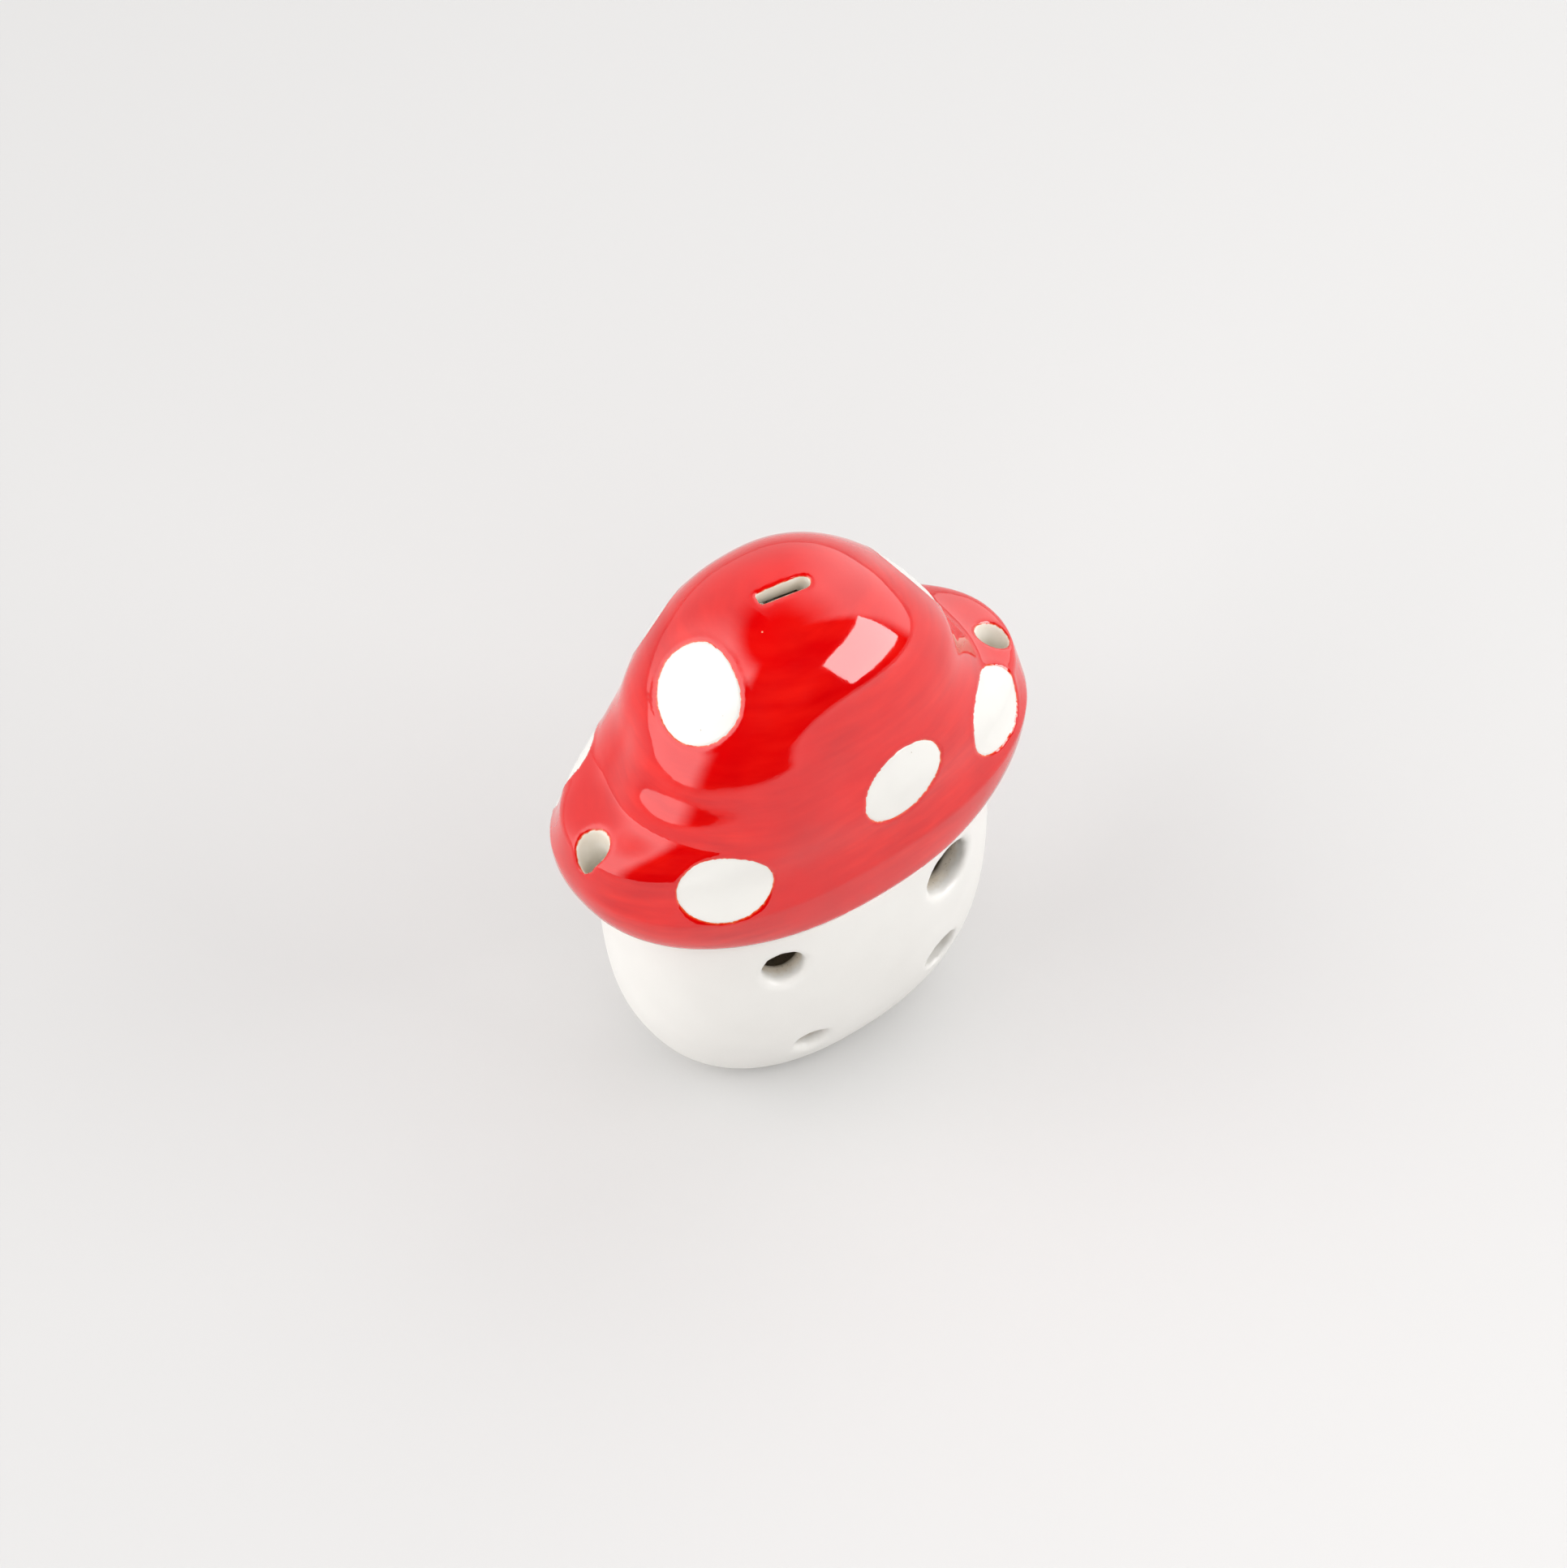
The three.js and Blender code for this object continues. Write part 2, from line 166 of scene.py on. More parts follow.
def stem_level(p):
    a, b = stem_shares(p[..., 2], -STEM["below"])
    return oval(p, STEM["A"] * a, STEM["B"] * b, STEM["n"]) - 1


def chamber_level(p):
    a, b = stem_shares(p[..., 2], CHAMBER["floor"])
    bowl = oval(p, (STEM["A"] - WALL) * a, (STEM["B"] - WALL) * b, STEM["n"])
    t = np.clip((p[..., 2] - STEM["top"]) / (CHAMBER["dome_top"] - STEM["top"]), 0, 5)
    m = CHAMBER["power"]
    return (bowl ** m + t ** m) ** (1 / m) - 1


def cap_level(p):
    z, join, rim = p[..., 2], STEM["top"], CAP["rim_z"]
    lift = CAP["lug_rise"] * (np.abs(p[..., 0]) / CAP["rim_half"]) ** 3
    flat = np.where(z > rim + lift, z - lift,
                    join + (z - join) * (rim - join) / (rim - join + lift))
    s = np.maximum((flat - rim) / (CAP["top_z"] - rim), 0)
    c = np.minimum(s, 1)
    dome = np.hypot(oval(p, cap_half_width(c), cap_half_depth(c), cap_squareness(c),
                         CAP["crown_y"] * c), s) - 1
    u = np.clip((flat - join) / (rim - join), 0, 1)
    w = np.sqrt(np.maximum(1 - (1 - u) ** 2, 1e-6))
    lip = oval(p, STEM["A"] + (CAP["rim_half"] - STEM["A"]) * w,
               STEM["B"] + (CAP["rim_depth"] - STEM["B"]) * w,
               STEM["n"] + (CAP["squareness"][0] - STEM["n"]) * u) - 1
    return np.where(flat >= rim, dome, lip)


def fade(x, low, high):
    """Smooth step from 0 at `low` to 1 at `high`."""
    t = np.clip((x - low) / (high - low), 0, 1)
    return t * t * (3 - 2 * t)


STEPS = np.eye(3) * 0.02


def distance(level, p):
    """First-order distance in mm to the zero surface of a level function."""
    if p.ndim == 4:  # a whole grid: its own differences are enough
        g = level(p)
        step = p[1, 0, 0, 0] - p[0, 0, 0, 0]
        return g / np.maximum(np.sqrt(sum(d * d for d in np.gradient(g, step))), 1e-3)
    slope = np.stack([level(p + s) - level(p - s) for s in STEPS], -1) / 0.04
    return level(p) / np.maximum(np.linalg.norm(slope, axis=-1), 1e-3)


def cap_outer_distance(p):
    """The cap's outside, its neck filled out towards the left cord hole."""
    turn = np.degrees(np.arctan2(-p[..., 1], -p[..., 0]))
    rise = p[..., 2] - FLANK["z"]
    swell = np.exp(-(rise / np.where(rise < 0, FLANK["below"], FLANK["above"])) ** 2)
    share = fade(turn, -14, 6) * fade(-turn, -80, -50)
    height = FLANK["front"] + (FLANK["side"] - FLANK["front"]) * fade(-turn, -32, -8)
    return distance(cap_level, p) - height * share * swell


def drill_distance(p, at, inward, r0, r1=None, depth=1.0):
    q = p - np.array(at)
    axis = np.array(inward) / np.linalg.norm(inward)
    t = q @ axis
    radius = r0 if r1 is None else r0 + (r1 - r0) * t / depth
    return np.linalg.norm(q - t[..., None] * axis, axis=-1) - radius


def voice_coordinates(p, lean=0.0):
    m = Matrix.Rotation(math.radians(VOICE["turn"]), 3, "Z") @ Matrix.Rotation(
        math.radians(lean), 3, "X")
    return (p - np.array(VOICE["at"])) @ np.array(m)


def slot_distance(p):
    q = voice_coordinates(p, VOICE["lean"])
    down = np.clip(-q[..., 2] / SLOT_BEND_LENGTH, 0, 1)
    x, y = q[..., 0], q[..., 1] + SLOT_BEND * np.sin(math.pi * down)
    r = np.where(x > 0, SLOT["round_end"], SLOT["square_end"])
    dx = np.abs(x) - (SLOT["width"] / 2 - r)
    dy = np.abs(y) - (SLOT["thick"] / 2 - r)
    return np.hypot(np.maximum(dx, 0), np.maximum(dy, 0)) + np.minimum(np.maximum(dx, dy), 0) - r


def window_distance(p):
    q = voice_coordinates(p)
    z = q[..., 2] + VOICE["at"][2]
    mid, half = (WINDOW["low"] + WINDOW["high"]) / 2, (WINDOW["high"] - WINDOW["low"]) / 2
    return np.maximum(np.maximum(np.abs(q[..., 0]) - WINDOW["half"], np.abs(z - mid) - half),
                      WINDOW["in_y"] - q[..., 1])


def cord_axis(lean, side):
    return (-side * math.sin(math.radians(lean)), 0.0, -math.cos(math.radians(lean)))


def cap_distance(p):
    f = cap_outer_distance(p)
    hollow = distance(chamber_level, p) + 0.12 * ripple(p, 5.0, 3)
    f = np.maximum(f, -np.maximum(hollow, f + MIN_WALL))
    f = smooth_max(f, -slot_distance(p), ROUNDING["slot"])
    f = smooth_max(f, -window_distance(p), ROUNDING["window"])
    for at, lean, side in CORD_HOLES:
        axis = np.array(cord_axis(lean, side))
        drill = drill_distance(p, at, axis, CORD_R["mouth"], CORD_R["exit"], CORD_R["depth"])
        above = -(p - np.array(at)) @ axis - CORD_ABOVE
        f = smooth_max(f, -np.maximum(drill, above), ROUNDING["cord"])
    return np.maximum(f, STEM["top"] + 0.02 - p[..., 2])


def stem_distance(p):
    f = distance(stem_level, p)
    f = smooth_max(f, -(distance(chamber_level, p) + 0.16 * ripple(p, 4.0, 5)), ROUNDING["chamber_rim"])
    uneven = 0.05 * ripple(p, 2.2, 11)
    for at, out, r, rounding in FINGER_HOLES:
        inside = -FINGER_DEPTH - (p - np.array(at)) @ np.array(out)
        f = smooth_max(f, -np.maximum(drill_distance(p, at, out, r) + uneven, inside), rounding)
    slab = np.maximum(distance(stem_level, p) + STEM_SKIRT["wall"],
                      p[..., 2] - FOOT_H + STEM_SKIRT["gap"])
    f = np.maximum(f, -slab)
    return np.maximum(f, np.maximum(STEM_SKIRT["bottom"] - p[..., 2], p[..., 2] - STEM["top"]))


# ---- Surface nets ----------------------------------------------------------------------
def mesh_field(field, lo, hi, step, rounds=3):
    """Closed quad mesh of a field's zero surface, drawn onto it."""
    axes = [np.arange(a, b + step, step) for a, b in zip(lo, hi)]
    p = np.stack(np.meshgrid(*axes, indexing="ij"), -1)
    f = field(p)
    inside = f < 0
    count = np.zeros([n - 1 for n in f.shape])
    total = np.zeros((*count.shape, 3))

    def corner(o):
        return tuple(slice(k, n - 1 + k) for k, n in zip(o, f.shape))

    for a in range(3):
        for o in np.ndindex(2, 2, 2):
            if o[a]:
                continue
            e = list(o)
            e[a] = 1
            s0, s1 = corner(o), corner(e)
            cross = inside[s0] != inside[s1]
            t = f[s0][cross] / (f[s0][cross] - f[s1][cross])
            total[cross] += p[s0][cross] + t[:, None] * (p[s1][cross] - p[s0][cross])
            count[cross] += 1
    used = count > 0
    index = np.full(count.shape, -1)
    index[used] = np.arange(used.sum())
    points = total[used] / count[used][:, None]
    quads = []
    for a in range(3):
        b, c = (a + 1) % 3, (a + 2) % 3
        first, second = [slice(1, -1)] * 3, [slice(1, -1)] * 3
        first[a], second[a] = slice(0, -1), slice(1, None)
        cross = inside[tuple(first)] != inside[tuple(second)]
        out = inside[tuple(first)][cross]
        at = np.argwhere(cross)
        at[:, b] += 1
        at[:, c] += 1
        ring = []
        for db, dc in ((0, 0), (-1, 0), (-1, -1), (0, -1)):
            q = at.copy()
            q[:, b] += db
            q[:, c] += dc
            ring.append(index[tuple(q.T)])
        ring = np.stack(ring, 1)
        ring[~out] = ring[~out][:, ::-1]
        quads.append(ring)
    for _ in range(rounds):
        f0 = field(points)
        slope = np.stack([field(points + s) - field(points - s) for s in STEPS], -1) / 0.04
        size = np.maximum((slope ** 2).sum(-1), 0.2)
        move = -(f0 / size)[:, None] * slope
        far = np.linalg.norm(move, axis=-1, keepdims=True)
        points = points + move * np.minimum(1, 0.35 * step / np.maximum(far, 1e-9))
    return points, np.concatenate(quads).tolist()


def make_piece(name, points, faces, material):
    mesh = bpy.data.meshes.new(name)
    mesh.from_pydata((points * MM).tolist(), [], faces)
    mesh.polygons.foreach_set("use_smooth", [True] * len(mesh.polygons))
    mesh.materials.append(material)
    mesh.update()
    piece = bpy.data.objects.new(name, mesh)
    bpy.context.collection.objects.link(piece)
    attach(piece, "root")
    return piece


def add_value(piece, name, values):
    layer = piece.data.attributes.new(name, "FLOAT", "POINT")
    layer.data.foreach_set("value", np.asarray(values, np.float32))


# ---- Spots on the cap ------------------------------------------------------------------
def cap_normal(p):
    slope = np.stack([cap_outer_distance(p + s) - cap_outer_distance(p - s) for s in STEPS], -1)
    return slope / np.linalg.norm(slope, axis=-1, keepdims=True)


def onto_cap(p, along=None):
    for _ in range(6):
        n = cap_normal(p)
        d = cap_outer_distance(p)
        if along is None:
            p = p - n * d[..., None]
        else:
            lean = np.clip(np.abs((n * along).sum(-1)), 0.3, 1)
            p = p - along * (d / lean)[..., None]
    return p


def spot_frame(name):
    centre = onto_cap(np.array(SPOTS[name][0]))
    out = cap_normal(centre)
    across = np.cross((0, 0, 1), out)
    across /= np.linalg.norm(across)
    return centre, out, across, np.cross(out, across)


def spot_reach(name, angle):
    """Half-size of a spot in a direction in its own plane."""
    _, a, b, turn, n = SPOTS[name]
    t = angle - math.radians(turn)
    return ((np.abs(np.cos(t)) / a) ** n + (np.abs(np.sin(t)) / b) ** n) ** (-1 / n)


def spot_edge(name, p):
    """Signed distance in mm from a spot's edge, negative on the spot."""
    centre, out, across, up = spot_frame(name)
    q = p - centre
    x, y, depth = q @ across, q @ up, q @ out
    edge = np.hypot(x, y) - spot_reach(name, np.arctan2(y, x))
    return np.where(np.abs(depth) < 5, edge, FAR)


def ragged(p):
    return 0.05 * ripple(p, 2.4, 21) + 0.035 * ripple(p, 0.9, 22)


def spots_edge(p):
    edges = np.minimum.reduce([spot_edge(name, p) for name in SPOTS])
    return edges + np.where(np.abs(edges) < 2, ragged(p), 0)


# ---- Materials -------------------------------------------------------------------------
class Nodes:
    """Small helper for building a material's node tree."""

    def __init__(self, name):
        self.material = bpy.data.materials.new(name)
        self.material.use_nodes = True
        self.tree = self.material.node_tree
        self.shader = self.tree.nodes["Principled BSDF"]
        self.place = self.add("ShaderNodeTexCoord").outputs["Object"]

    def add(self, kind, inputs=None, **options):
        node = self.tree.nodes.new(kind)
        for key, value in options.items():
            setattr(node, key, value)
        for key, value in (inputs or {}).items():
            if isinstance(value, bpy.types.NodeSocket):
                self.tree.links.new(value, node.inputs[key])
            else:
                node.inputs[key].default_value = value
        return node

    def link(self, source, target):
        self.tree.links.new(source, target)

    def noise(self, size_mm, detail=3.0, roughness=0.5, stretch=(1, 1, 1)):
        spread = self.add("ShaderNodeMapping", {"Vector": self.place,
                          "Scale": tuple(s / (size_mm * MM) for s in stretch)})
        return self.add("ShaderNodeTexNoise", {"Vector": spread.outputs[0], "Scale": 1.0,
                        "Detail": detail, "Roughness": roughness}).outputs["Fac"]

    def ramp(self, value, low, high, out_low=0.0, out_high=1.0):
        return self.add("ShaderNodeMapRange", {"Value": value, "From Min": low,
                        "From Max": high, "To Min": out_low, "To Max": out_high}).outputs[0]

    def value(self, name):
        return self.add("ShaderNodeAttribute", attribute_name=name).outputs["Fac"]

    def specks(self, apart_mm, radius_mm, share):
        """1 in sparse round dots, a share of one dot to each cell."""
        spread = self.add("ShaderNodeMapping", {"Vector": self.place,
                          "Scale": (1 / (apart_mm * MM),) * 3})
        cell = self.add("ShaderNodeTexVoronoi", {"Vector": spread.outputs[0], "Scale": 1.0})
        size = radius_mm / apart_mm
        dot = self.ramp(cell.outputs["Distance"], size * 0.6, size, 1.0, 0.0)
        chosen = self.ramp(self.add("ShaderNodeSeparateColor", {0: cell.outputs["Color"]}
                                    ).outputs[0], share - 0.01, share + 0.01, 1.0, 0.0)
        return self.math("MULTIPLY", dot, chosen)

    def math(self, operation, a, b):
        return self.add("ShaderNodeMath", {0: a, 1: b}, operation=operation).outputs[0]

    def mix(self, share, a, b):
        node = self.add("ShaderNodeMix", data_type="RGBA")
        for key, value in ((0, share), (6, a), (7, b)):
            if isinstance(value, bpy.types.NodeSocket):
                self.link(value, node.inputs[key])
            else:
                node.inputs[key].default_value = value
        return node.outputs[2]

    def bump(self, layers):
        """Stacks (height, millimetres) layers into one normal."""
        normal = None
        for height, depth in layers:
            node = self.add("ShaderNodeBump", {"Height": height, "Strength": 1.0,
                            "Distance": depth * MM})
            if normal is not None:
                self.link(normal, node.inputs["Normal"])
            normal = node.outputs[0]
        self.link(normal, self.shader.inputs["Normal"])

    def set(self, **values):
        for key, value in values.items():
            socket = self.shader.inputs[key.replace("_", " ")]
            if isinstance(value, bpy.types.NodeSocket):
                self.link(value, socket)
            else:
                socket.default_value = value


CLAY = (0.62, 0.53, 0.41, 1)


def clay_colour(n):
    """Bare fired clay: warm buff with darker patches and fine grog."""
    broad = n.ramp(n.noise(3.0), 0.3, 0.7)
    colour = n.mix(broad, CLAY, (0.74, 0.67, 0.57, 1))
    return n.mix(n.ramp(n.noise(0.35, 2), 0.62, 0.75), colour, (0.36, 0.29, 0.21, 1))


def lining_colour(n):
    """Pale glaze that ran into the holes, thinner and browner in patches."""
    patches = n.ramp(n.noise(3.5, 2), 0.35, 0.7)
    return n.mix(patches, (0.88, 0.85, 0.78, 1), (0.82, 0.76, 0.65, 1))


def red_glaze():
    n = Nodes("red_glaze")
    edge, deep = n.value("spot_edge"), n.value("depth")
    wander = n.ramp(n.noise(0.7, 2), 0.25, 0.75, -0.08, 0.08)
    red = n.mix(n.ramp(n.noise(9.0, 2), 0.35, 0.65), (0.62, 0.001, 0.002, 1),
                (0.70, 0.0015, 0.002, 1))
    streaks = n.ramp(n.noise(2.4, 3, 0.5, (0.3, 0.3, 1.8)), 0.35, 0.75)
    broad = n.ramp(n.noise(14.0, 2), 0.38, 0.62, 0.12, 0.5)
    red = n.mix(n.math("MULTIPLY", streaks, broad), red, (0.92, 0.016, 0.008, 1))
    red = n.mix(n.specks(7.0, 0.16, 0.35), red, (0.86, 0.35, 0.22, 1))
    near = n.math("ADD", edge, wander)
    fringe = n.ramp(near, 0.0, 0.22, 1.0, 0.0)
    red = n.mix(n.math("MULTIPLY", fringe, 0.75), red, (0.86, 0.19, 0.05, 1))
    red = n.mix(n.ramp(near, -0.02, 0.04, 1.0, 0.0), red, (0.80, 0.77, 0.71, 1))
    inner = n.math("ADD", deep, wander)
    red = n.mix(n.ramp(inner, 0.14, 0.26, 0.0, 0.8), red, (0.78, 0.20, 0.08, 1))
    colour = n.mix(n.ramp(inner, 0.24, 0.36), red, lining_colour(n))
    rough = n.ramp(n.noise(2.5, 3), 0.3, 0.7, 0.04, 0.08)
    inside = n.ramp(inner, 0.24, 0.36)
    n.set(Base_Color=colour, IOR=1.65,
          Roughness=n.add("ShaderNodeMix", {0: inside, 2: rough, 3: 0.7},
                          data_type="FLOAT").outputs[0])
    n.bump([(n.noise(7.0, 1), 0.05), (n.noise(1.3, 2, 0.5), 0.005)])
    return n.material


def white_glaze(name, colour=(0.83, 0.815, 0.775, 1), rough=(0.17, 0.21)):
    n = Nodes(name)
    base = n.mix(n.ramp(n.noise(7.0, 3), 0.3, 0.7), colour,
                 tuple(c * 0.965 for c in colour[:3]) + (1,))
    base = n.mix(n.specks(2.6, 0.11, 0.5), base, (0.55, 0.50, 0.42, 1))
    n.set(Base_Color=base, IOR=1.5, Roughness=n.ramp(n.noise(9.0, 0), 0.3, 0.7, *rough))
    n.bump([(n.noise(5.0, 1), 0.04), (n.noise(1.5, 1), 0.003)])
    return n.material


def stem_glaze():
    n = Nodes("stem_glaze")
    deep = n.math("ADD", n.value("depth"), n.ramp(n.noise(0.6, 3), 0.25, 0.75, -0.25, 0.25))
    white = n.mix(n.ramp(n.noise(12.0, 3), 0.3, 0.7), (0.84, 0.825, 0.79, 1),
                  (0.80, 0.785, 0.75, 1))
    white = n.mix(n.specks(6.5, 0.13, 0.4), white, (0.16, 0.14, 0.12, 1))
    inside = n.ramp(deep, 1.3, 2.4)
    colour = n.mix(inside, white, clay_colour(n))
    rough = n.ramp(n.noise(12.0, 0), 0.3, 0.7, 0.40, 0.44)
    n.set(Base_Color=colour, IOR=1.5,
          Roughness=n.add("ShaderNodeMix", {0: inside, 2: rough, 3: 0.8},
                          data_type="FLOAT").outputs[0])
    n.bump([(n.noise(11.0, 1), 0.10), (n.noise(2.6, 1), 0.006)])
    return n.material


def bare_clay(name):
    n = Nodes(name)
    n.set(Base_Color=clay_colour(n), IOR=1.5, Roughness=n.ramp(n.noise(1.2, 3), 0.3, 0.7, 0.6, 0.85))
    n.bump([(n.noise(1.6, 4, 0.6), 0.08), (n.noise(0.3, 2), 0.02)])
    return n.material


# ---- Pieces ----------------------------------------------------------------------------
def build_cap():
    points, faces = mesh_field(cap_distance, *CAP_GRID)
    edge = spots_edge(points)
    depth = -cap_outer_distance(points)
    surface = np.clip(1 - depth / 0.6, 0, 1)
    bed = fade(BED_EDGE - edge, 0, BED_SLOPE)
    bead = np.exp(-((edge - BEAD["at"]) / BEAD["width"]) ** 2)
    rise = (BEAD["height"] * bead - BED_DEPTH * bed) * surface
    points = points + cap_normal(points) * rise[:, None]
    piece = make_piece("cap_glazed", points, faces, red_glaze())
    add_value(piece, "spot_edge", np.clip(edge, -FAR, FAR))
    add_value(piece, "depth", np.clip(depth, 0, FAR))
    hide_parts("cap_shell")


def build_stem():
    points, faces = mesh_field(stem_distance, *STEM_GRID)
    piece = make_piece("stem_glazed", points, faces, stem_glaze())
    add_value(piece, "depth", np.clip(-distance(stem_level, points), 0, FAR))
    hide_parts("stem_wall")


def closed_rings(rings):
    """Closed mesh through rings of points, its ends filled with fans."""
    count = len(rings[0])
    points = np.concatenate(rings + [rings[0].mean(0)[None], rings[-1].mean(0)[None]])
    a = np.arange(count)
    b = (a + 1) % count
    quads = [np.stack([j * count + a, j * count + b, (j + 1) * count + b, (j + 1) * count + a], 1)
             for j in range(len(rings) - 1)]
    last = (len(rings) - 1) * count
    ends = [(len(points) - 2, int(j), int(i)) for i, j in zip(a, b)]
    ends += [(len(points) - 1, int(last + i), int(last + j)) for i, j in zip(a, b)]
    return points, [tuple(q) for q in np.concatenate(quads).tolist()] + ends


def build_foot():
    """Foot slab: sits inside the stem's skirt and stands proud of it by half a millimetre."""
    count, rings = 160, []
    t = np.arange(count) / count * 2 * math.pi
    for z, inset in FOOT_PROFILE:
        share_a, share_b = stem_shares(max(z, STEM_SKIRT["bottom"]), -STEM["below"])
        a, b = STEM["A"] * share_a - inset, STEM["B"] * share_b - inset
        c, s = np.cos(t), np.sin(t)
        rings.append(np.stack([a * np.sign(c) * np.abs(c) ** (2 / STEM["n"]),
                               b * np.sign(s) * np.abs(s) ** (2 / STEM["n"]),
                               np.full(count, z)], 1))
    points, faces = closed_rings(rings)
    piece = make_piece("foot_slab", points, faces, bare_clay("foot_bare_clay"))
    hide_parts("foot_disc")


def build_spot(name, material):
    """Thin domed patch of white glaze whose rim runs under the red."""
    centre, out, across, up = spot_frame(name)
    count = 120 if FINE else 60
    t = np.arange(count) / count * 2 * math.pi
    shares = np.concatenate([np.linspace(0.06, 1, 20 if FINE else 10), [1.07]])
    high, low = [], []
    for share in shares:
        r = (spot_reach(name, t) * share)[:, None]
        p = centre + r * (np.cos(t)[:, None] * across + np.sin(t)[:, None] * up)
        p = onto_cap(p, out)
        n = cap_normal(p)
        sag = SPOT_SINK + 0.02 * ripple(p, 3.0, 31)[:, None] + (SPOT_TUCK if share > 1 else 0)
        high.append(p - n * sag)
        low.append(p - n * SPOT_BOTTOM)
    points, faces = closed_rings(low + high[::-1])
    piece = make_piece("glaze_" + name, points, faces, material)
    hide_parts(name)


build_cap()
build_stem()
build_foot()
spot_material = white_glaze("spot_white_glaze")
for spot in SPOTS:
    build_spot(spot, spot_material)
inner_clay = bare_clay("inner_bare_clay")
for node in ("windway_block", "labium_blade"):
    for holder in bpy.data.objects[node].material_slots:
        holder.material = inner_clay


# ---- Stage, light and camera -----------------------------------------------------------
RIGHT_LIGHT = 1.8      # radiance of the lit walls; 1 shows as white
BACK_LIGHT = 0.9
LEFT_LIGHT = 2.6
BACKDROP_LIGHT = 0.84  # what the camera sees past the floor
ROOM_TINT = (1.0, 0.99, 0.985, 1)
FLOOR_HALF = 6.0       # metres
FLOOR_COLOUR = (0.67, 0.665, 0.66, 1)
LAMP_TARGET = (0, 0, 0.045)
CAMERA = dict(azimuth=36.205, elevation=48.356, roll=-2.029, lens=149.0683, sensor=36.0,
              distance=808.004, target=(4.13, 7.231, 30.0))   # degrees and millimetres


def stage_floor():
    mesh = bpy.data.meshes.new("floor")
    s = FLOOR_HALF
    mesh.from_pydata([(-s, -s, 0), (s, -s, 0), (s, s, 0), (-s, s, 0)], [], [(0, 1, 2, 3)])
    n = Nodes("floor_paper")
    n.set(Base_Color=FLOOR_COLOUR, Roughness=0.9, Specular_IOR_Level=0.1)
    mesh.materials.append(n.material)
    floor = bpy.data.objects.new("floor", mesh)
    bpy.context.collection.objects.link(floor)


def direction(azimuth, elevation):
    """Azimuth 0 is towards -Y, 90 towards +X."""
    a, e = math.radians(azimuth), math.radians(elevation)
    return Vector((math.sin(a) * math.cos(e), -math.cos(a) * math.cos(e), math.sin(e)))


def softbox(name, azimuth, elevation, half_azimuth, half_elevation, distance_m, radiance,
            diffuse=True, glossy=True):
    """Rectangular lamp that fills the given angles as seen from the object."""
    data = bpy.data.lights.new(name, "AREA")
    data.shape = "RECTANGLE"
    level = 1.0 if elevation == 90 else math.cos(math.radians(elevation))
    data.size = 2 * distance_m * level * math.tan(math.radians(half_azimuth))
    data.size_y = 2 * distance_m * math.tan(math.radians(half_elevation))
    data.energy = radiance * math.pi * data.size * data.size_y
    lamp = bpy.data.objects.new(name, data)
    towards = direction(azimuth, elevation)
    lamp.location = Vector(LAMP_TARGET) + towards * distance_m
    lamp.visible_camera = False
    lamp.visible_diffuse, lamp.visible_glossy = diffuse, glossy
    lamp.rotation_mode = "QUATERNION"
    lamp.rotation_quaternion = towards.to_track_quat("Z", "Y")
    bpy.context.collection.objects.link(lamp)


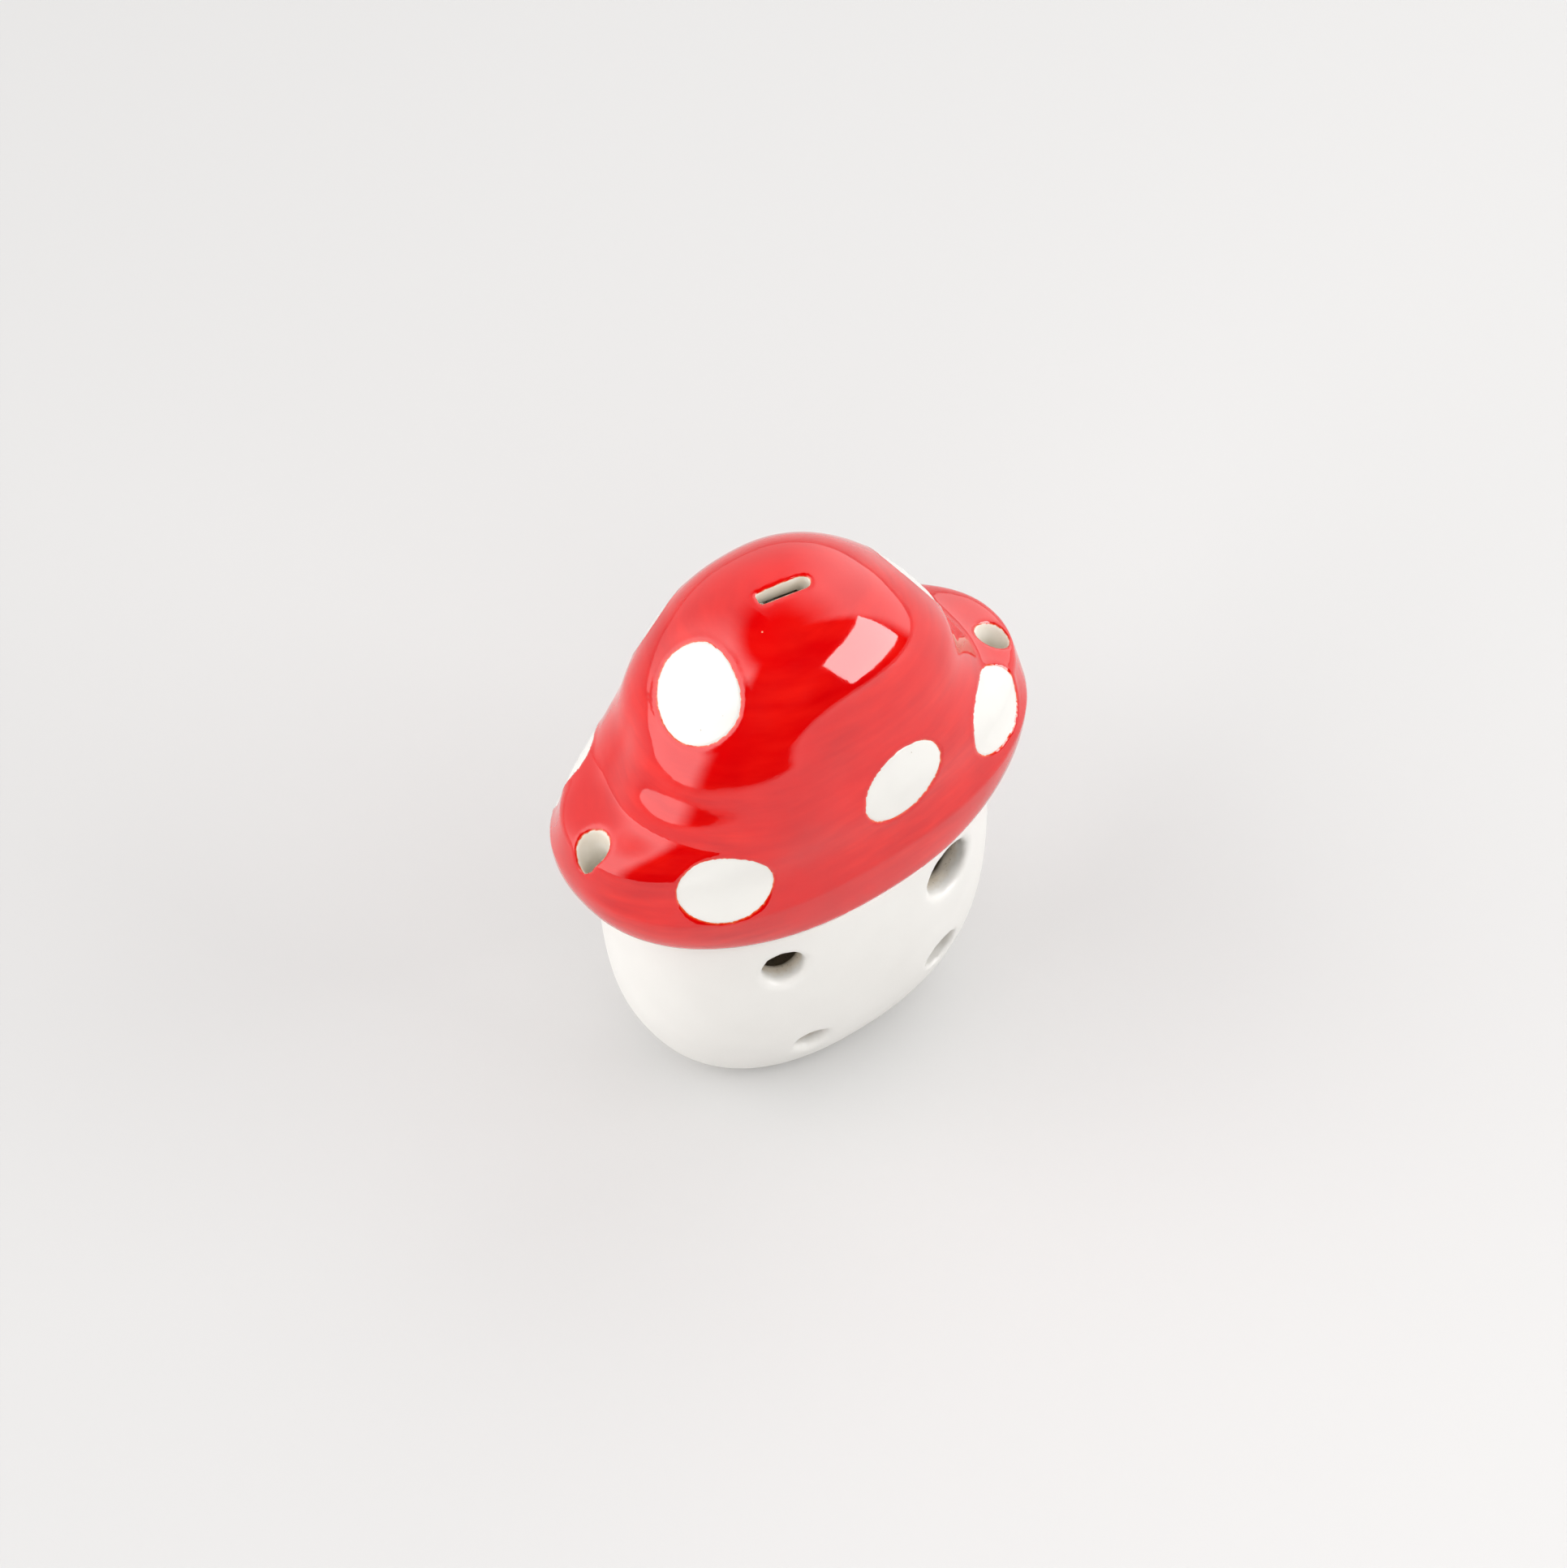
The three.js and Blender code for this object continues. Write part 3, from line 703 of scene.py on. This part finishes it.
def room():
    """Softly lit walls left, right and behind, dark in front and overhead; pale backdrop."""
    world = bpy.data.worlds.new("room")
    bpy.context.scene.world = world
    world.use_nodes = True
    tree = world.node_tree

    def node(kind, inputs=(), **options):
        made = tree.nodes.new(kind)
        for key, value in options.items():
            setattr(made, key, value)
        for key, value in dict(inputs).items():
            if isinstance(value, bpy.types.NodeSocket):
                tree.links.new(value, made.inputs[key])
            else:
                made.inputs[key].default_value = value
        return made

    def math_node(operation, a, b=0.0):
        return node("ShaderNodeMath", {0: a, 1: b}, operation=operation).outputs[0]

    def ease(value, low, high, out_low, out_high):
        return node("ShaderNodeMapRange", {"Value": value, "From Min": math.radians(low),
                    "From Max": math.radians(high), "To Min": out_low, "To Max": out_high},
                    interpolation_type="SMOOTHSTEP").outputs[0]

    ray = node("ShaderNodeSeparateXYZ",
               {0: node("ShaderNodeTexCoord").outputs["Generated"]}).outputs
    azimuth = math_node("ARCTAN2", ray[0], math_node("MULTIPLY", ray[1], -1.0))
    elevation = math_node("ARCSINE", ray[2])
    right = math_node("MULTIPLY", ease(azimuth, 68, 80, 0.0, 1.0),
                      ease(elevation, 45, 78, 1.0, 0.0))
    right = math_node("MULTIPLY", right, ease(azimuth, 115, 148, RIGHT_LIGHT, BACK_LIGHT))
    left = math_node("MULTIPLY", ease(azimuth, -84, -66, 1.0, 0.0),
                     ease(azimuth, -170, -120, BACK_LIGHT, LEFT_LIGHT))
    left = math_node("MULTIPLY", left,
                     ease(elevation, 48, 66, 1.0, 0.0))
    light = math_node("ADD", left, right)
    seen = node("ShaderNodeLightPath").outputs["Is Camera Ray"]
    strength = node("ShaderNodeMix", {0: seen, 2: light, 3: BACKDROP_LIGHT},
                    data_type="FLOAT").outputs[0]
    background = tree.nodes["Background"]
    background.inputs["Color"].default_value = ROOM_TINT
    tree.links.new(strength, background.inputs["Strength"])


def photo_camera():
    a, e, roll = (math.radians(CAMERA[key]) for key in ("azimuth", "elevation", "roll"))
    back = Vector((-math.sin(a) * math.cos(e), -math.cos(a) * math.cos(e), math.sin(e)))
    right = (-back).cross(Vector((0, 0, 1))).normalized()
    up = right.cross(-back)
    x = right * math.cos(roll) + up * math.sin(roll)
    y = up * math.cos(roll) - right * math.sin(roll)
    data = bpy.data.cameras.new("camera")
    data.sensor_width, data.lens = CAMERA["sensor"], CAMERA["lens"]
    data.clip_start, data.clip_end = 0.05, 30.0
    camera = bpy.data.objects.new("camera", data)
    place = Vector(CAMERA["target"]) * MM + back * CAMERA["distance"] * MM
    camera.matrix_world = Matrix(((x.x, y.x, back.x, place.x), (x.y, y.y, back.y, place.y),
                                  (x.z, y.z, back.z, place.z), (0, 0, 0, 1)))
    bpy.context.collection.objects.link(camera)
    bpy.context.scene.camera = camera


stage_floor()
room()
softbox("right_box", 45, 26.5, 25, 18.5, 1.20, 3.3)
softbox("right_sheen", 45, 26.5, 25, 18.5, 1.25, 4.2, diffuse=False)
softbox("front_fill", -25, 42, 35, 20, 1.50, 1.85, glossy=False)
softbox("overhead_fill", 0, 90, 36, 36, 1.50, 0.35, glossy=False)
photo_camera()
bpy.context.scene.view_settings.view_transform = "Standard"
